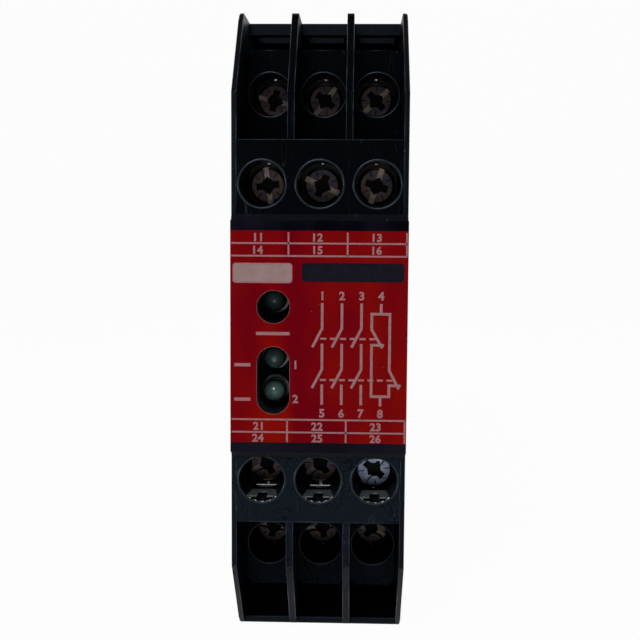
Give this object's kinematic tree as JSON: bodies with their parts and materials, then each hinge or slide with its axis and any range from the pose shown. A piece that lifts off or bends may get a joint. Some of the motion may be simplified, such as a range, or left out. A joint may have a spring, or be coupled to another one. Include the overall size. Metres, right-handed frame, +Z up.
{
  "type": "safety relay",
  "caption": "Slim rail-mounted safety relay with stepped screw terminals at both ends, a raised glossy front label and status lamps.",
  "frame": {"origin": "middle of the face at the back that bears on the rail", "axes": "+Z up with the upper terminals on top, -Y out of the front label, +X to the right seen from the front"},
  "size_m": [0.0226, 0.118, 0.084],
  "materials": {
    "black_plastic": "fine-grained black moulding",
    "inner_moulding": "plain dark moulding",
    "label_print": "glossy printed film",
    "latch_plastic": "plain black moulding",
    "spring_steel": "drawn wire",
    "lamp_resin": "tinted clear resin",
    "board_laminate": "green lacquer on glass laminate",
    "relay_case": "pale smooth moulding",
    "can_aluminium": "drawn can",
    "component_black": "moulded epoxy",
    "varistor_coating": "dipped resin",
    "screw_metal": "plated steel, dulled",
    "saddle_metal": "plated pressed steel",
    "tinned_contact": "tinned metal"
  },
  "bodies": {
    "case": {"housing": "black_plastic", "upper_terminal_cover": "black_plastic", "lower_terminal_cover": "black_plastic", "front_bezel": "black_plastic", "upper_terminal_base": "inner_moulding", "lower_terminal_base": "inner_moulding", "lamp_holder": "inner_moulding", "front_label": "label_print", "latch_spring": "spring_steel", "lamp_power": "lamp_resin", "lamp_channel_one": "lamp_resin", "lamp_channel_two": "lamp_resin", "terminal_board": "board_laminate", "main_board": "board_laminate", "relay_one": "relay_case", "relay_two": "relay_case", "capacitor": "can_aluminium", "fuse": "component_black", "control_chip": "component_black", "rectifier": "component_black", "varistor": "varistor_coating", "contact_upper_one_left": "tinned_contact", "contact_upper_one_middle": "tinned_contact", "contact_upper_one_right": "tinned_contact", "contact_upper_two_left": "tinned_contact", "contact_upper_two_middle": "tinned_contact", "contact_upper_two_right": "tinned_contact", "contact_lower_one_left": "tinned_contact", "contact_lower_one_middle": "tinned_contact", "contact_lower_one_right": "tinned_contact", "contact_lower_two_left": "tinned_contact", "contact_lower_two_middle": "tinned_contact", "contact_lower_two_right": "tinned_contact"},
    "saddle_body_upper_one_left": {"saddle_upper_one_left": "saddle_metal"},
    "screw_body_upper_one_left": {"screw_upper_one_left": "screw_metal"},
    "saddle_body_upper_one_middle": {"saddle_upper_one_middle": "saddle_metal"},
    "screw_body_upper_one_middle": {"screw_upper_one_middle": "screw_metal"},
    "saddle_body_upper_one_right": {"saddle_upper_one_right": "saddle_metal"},
    "screw_body_upper_one_right": {"screw_upper_one_right": "screw_metal"},
    "saddle_body_upper_two_left": {"saddle_upper_two_left": "saddle_metal"},
    "screw_body_upper_two_left": {"screw_upper_two_left": "screw_metal"},
    "saddle_body_upper_two_middle": {"saddle_upper_two_middle": "saddle_metal"},
    "screw_body_upper_two_middle": {"screw_upper_two_middle": "screw_metal"},
    "saddle_body_upper_two_right": {"saddle_upper_two_right": "saddle_metal"},
    "screw_body_upper_two_right": {"screw_upper_two_right": "screw_metal"},
    "saddle_body_lower_one_left": {"saddle_lower_one_left": "saddle_metal"},
    "screw_body_lower_one_left": {"screw_lower_one_left": "screw_metal"},
    "saddle_body_lower_one_middle": {"saddle_lower_one_middle": "saddle_metal"},
    "screw_body_lower_one_middle": {"screw_lower_one_middle": "screw_metal"},
    "saddle_body_lower_one_right": {"saddle_lower_one_right": "saddle_metal"},
    "screw_body_lower_one_right": {"screw_lower_one_right": "screw_metal"},
    "saddle_body_lower_two_left": {"saddle_lower_two_left": "saddle_metal"},
    "screw_body_lower_two_left": {"screw_lower_two_left": "screw_metal"},
    "saddle_body_lower_two_middle": {"saddle_lower_two_middle": "saddle_metal"},
    "screw_body_lower_two_middle": {"screw_lower_two_middle": "screw_metal"},
    "saddle_body_lower_two_right": {"saddle_lower_two_right": "saddle_metal"},
    "screw_body_lower_two_right": {"screw_lower_two_right": "screw_metal"},
    "latch": {"rail_latch": "latch_plastic"}
  },
  "joints": [
    {"name": "clamp_lift_upper_one_left", "type": "slide", "parent": "case", "child": "saddle_body_upper_one_left", "axis": [0, -1, 0], "range_m": [0, 0.0032]},
    {"name": "screw_turn_upper_one_left", "type": "hinge", "parent": "saddle_body_upper_one_left", "child": "screw_body_upper_one_left", "pos_m": [-0.00734, -0.1006, 0.01908], "axis": [0, -1, 0], "range_deg": [0, 2304.05]},
    {"name": "clamp_lift_upper_one_middle", "type": "slide", "parent": "case", "child": "saddle_body_upper_one_middle", "axis": [0, -1, 0], "range_m": [0, 0.0032]},
    {"name": "screw_turn_upper_one_middle", "type": "hinge", "parent": "saddle_body_upper_one_middle", "child": "screw_body_upper_one_middle", "pos_m": [0, -0.1006, 0.01908], "axis": [0, -1, 0], "range_deg": [0, 2304.05]},
    {"name": "clamp_lift_upper_one_right", "type": "slide", "parent": "case", "child": "saddle_body_upper_one_right", "axis": [0, -1, 0], "range_m": [0, 0.0032]},
    {"name": "screw_turn_upper_one_right", "type": "hinge", "parent": "saddle_body_upper_one_right", "child": "screw_body_upper_one_right", "pos_m": [0.00734, -0.1006, 0.01908], "axis": [0, -1, 0], "range_deg": [0, 2304.05]},
    {"name": "clamp_lift_upper_two_left", "type": "slide", "parent": "case", "child": "saddle_body_upper_two_left", "axis": [0, -1, 0], "range_m": [0, 0.0032]},
    {"name": "screw_turn_upper_two_left", "type": "hinge", "parent": "saddle_body_upper_two_left", "child": "screw_body_upper_two_left", "pos_m": [-0.00736, -0.088, 0.0316], "axis": [0, -1, 0], "range_deg": [0, 2304.05]},
    {"name": "clamp_lift_upper_two_middle", "type": "slide", "parent": "case", "child": "saddle_body_upper_two_middle", "axis": [0, -1, 0], "range_m": [0, 0.0032]},
    {"name": "screw_turn_upper_two_middle", "type": "hinge", "parent": "saddle_body_upper_two_middle", "child": "screw_body_upper_two_middle", "pos_m": [0, -0.088, 0.0316], "axis": [0, -1, 0], "range_deg": [0, 2304.05]},
    {"name": "clamp_lift_upper_two_right", "type": "slide", "parent": "case", "child": "saddle_body_upper_two_right", "axis": [0, -1, 0], "range_m": [0, 0.0032]},
    {"name": "screw_turn_upper_two_right", "type": "hinge", "parent": "saddle_body_upper_two_right", "child": "screw_body_upper_two_right", "pos_m": [0.00736, -0.088, 0.0316], "axis": [0, -1, 0], "range_deg": [0, 2304.05]},
    {"name": "clamp_lift_lower_one_left", "type": "slide", "parent": "case", "child": "saddle_body_lower_one_left", "axis": [0, -1, 0], "range_m": [0, 0.0032]},
    {"name": "screw_turn_lower_one_left", "type": "hinge", "parent": "saddle_body_lower_one_left", "child": "screw_body_lower_one_left", "pos_m": [-0.00734, -0.1006, -0.01908], "axis": [0, -1, 0], "range_deg": [0, 2304.05]},
    {"name": "clamp_lift_lower_one_middle", "type": "slide", "parent": "case", "child": "saddle_body_lower_one_middle", "axis": [0, -1, 0], "range_m": [0, 0.0032]},
    {"name": "screw_turn_lower_one_middle", "type": "hinge", "parent": "saddle_body_lower_one_middle", "child": "screw_body_lower_one_middle", "pos_m": [0, -0.1006, -0.01908], "axis": [0, -1, 0], "range_deg": [0, 2304.05]},
    {"name": "clamp_lift_lower_one_right", "type": "slide", "parent": "case", "child": "saddle_body_lower_one_right", "axis": [0, -1, 0], "range_m": [-0.0029, 0.0003]},
    {"name": "screw_turn_lower_one_right", "type": "hinge", "parent": "saddle_body_lower_one_right", "child": "screw_body_lower_one_right", "pos_m": [0.00734, -0.1035, -0.01908], "axis": [0, -1, 0], "range_deg": [-2088.05, 216.05]},
    {"name": "clamp_lift_lower_two_left", "type": "slide", "parent": "case", "child": "saddle_body_lower_two_left", "axis": [0, -1, 0], "range_m": [0, 0.0032]},
    {"name": "screw_turn_lower_two_left", "type": "hinge", "parent": "saddle_body_lower_two_left", "child": "screw_body_lower_two_left", "pos_m": [-0.00736, -0.088, -0.0316], "axis": [0, -1, 0], "range_deg": [0, 2304.05]},
    {"name": "clamp_lift_lower_two_middle", "type": "slide", "parent": "case", "child": "saddle_body_lower_two_middle", "axis": [0, -1, 0], "range_m": [0, 0.0032]},
    {"name": "screw_turn_lower_two_middle", "type": "hinge", "parent": "saddle_body_lower_two_middle", "child": "screw_body_lower_two_middle", "pos_m": [0, -0.088, -0.0316], "axis": [0, -1, 0], "range_deg": [0, 2304.05]},
    {"name": "clamp_lift_lower_two_right", "type": "slide", "parent": "case", "child": "saddle_body_lower_two_right", "axis": [0, -1, 0], "range_m": [0, 0.0032]},
    {"name": "screw_turn_lower_two_right", "type": "hinge", "parent": "saddle_body_lower_two_right", "child": "screw_body_lower_two_right", "pos_m": [0.00736, -0.088, -0.0316], "axis": [0, -1, 0], "range_deg": [0, 2304.05]},
    {"name": "latch_slide", "type": "slide", "parent": "case", "child": "latch", "axis": [0, 0, -1], "range_m": [0, 0.004], "stiffness_N_per_m": 1500, "deforming": ["latch_spring"]}
  ],
  "couplings": [
    {"joint": "screw_turn_upper_one_left", "follows": "clamp_lift_upper_one_left", "rad_per_m": 12566},
    {"joint": "screw_turn_upper_one_middle", "follows": "clamp_lift_upper_one_middle", "rad_per_m": 12566},
    {"joint": "screw_turn_upper_one_right", "follows": "clamp_lift_upper_one_right", "rad_per_m": 12566},
    {"joint": "screw_turn_upper_two_left", "follows": "clamp_lift_upper_two_left", "rad_per_m": 12566},
    {"joint": "screw_turn_upper_two_middle", "follows": "clamp_lift_upper_two_middle", "rad_per_m": 12566},
    {"joint": "screw_turn_upper_two_right", "follows": "clamp_lift_upper_two_right", "rad_per_m": 12566},
    {"joint": "screw_turn_lower_one_left", "follows": "clamp_lift_lower_one_left", "rad_per_m": 12566},
    {"joint": "screw_turn_lower_one_middle", "follows": "clamp_lift_lower_one_middle", "rad_per_m": 12566},
    {"joint": "screw_turn_lower_one_right", "follows": "clamp_lift_lower_one_right", "rad_per_m": 12566},
    {"joint": "screw_turn_lower_two_left", "follows": "clamp_lift_lower_two_left", "rad_per_m": 12566},
    {"joint": "screw_turn_lower_two_middle", "follows": "clamp_lift_lower_two_middle", "rad_per_m": 12566},
    {"joint": "screw_turn_lower_two_right", "follows": "clamp_lift_lower_two_right", "rad_per_m": 12566}
  ]
}
